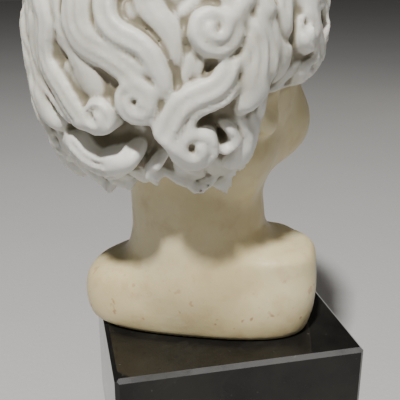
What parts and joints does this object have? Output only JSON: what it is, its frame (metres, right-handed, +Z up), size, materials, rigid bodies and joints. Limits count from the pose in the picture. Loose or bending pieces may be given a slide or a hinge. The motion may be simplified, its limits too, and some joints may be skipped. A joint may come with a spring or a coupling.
{
  "type": "marble bust on a plinth",
  "caption": "Carved marble bust of a curly-haired child that turns on a steel stud in a polished black marble plinth with a felt base.",
  "frame": {"origin": "middle of the felt's underside, on the axis of the stud", "axes": "+Z up along the stud, towards the head; the plinth's front faces -Y and its width runs along X"},
  "size_m": [0.1238, 0.1154, 0.2488],
  "materials": {
    "white_marble": "satin",
    "black_marble": "polished",
    "zinc_steel": "zinc plated",
    "spring_steel": "oiled",
    "mortar": "matte",
    "nylon": "matte",
    "brass": "turned",
    "felt": "felt"
  },
  "bodies": {
    "base": {"plinth": "black_marble", "plinth_bush": "brass", "flat_washer": "zinc_steel", "felt_base": "felt", "thrust_disc": "nylon"},
    "figure": {"bust": "white_marble", "stud_mortar": "mortar", "pivot_stud": "zinc_steel", "spring_washer": "spring_steel", "hex_nut": "zinc_steel"}
  },
  "joints": [
    {"name": "bust_swivel", "type": "hinge", "parent": "base", "child": "figure", "pos_m": [0, 0, 0.062], "axis": [0, 0, 1], "continuous": true}
  ]
}
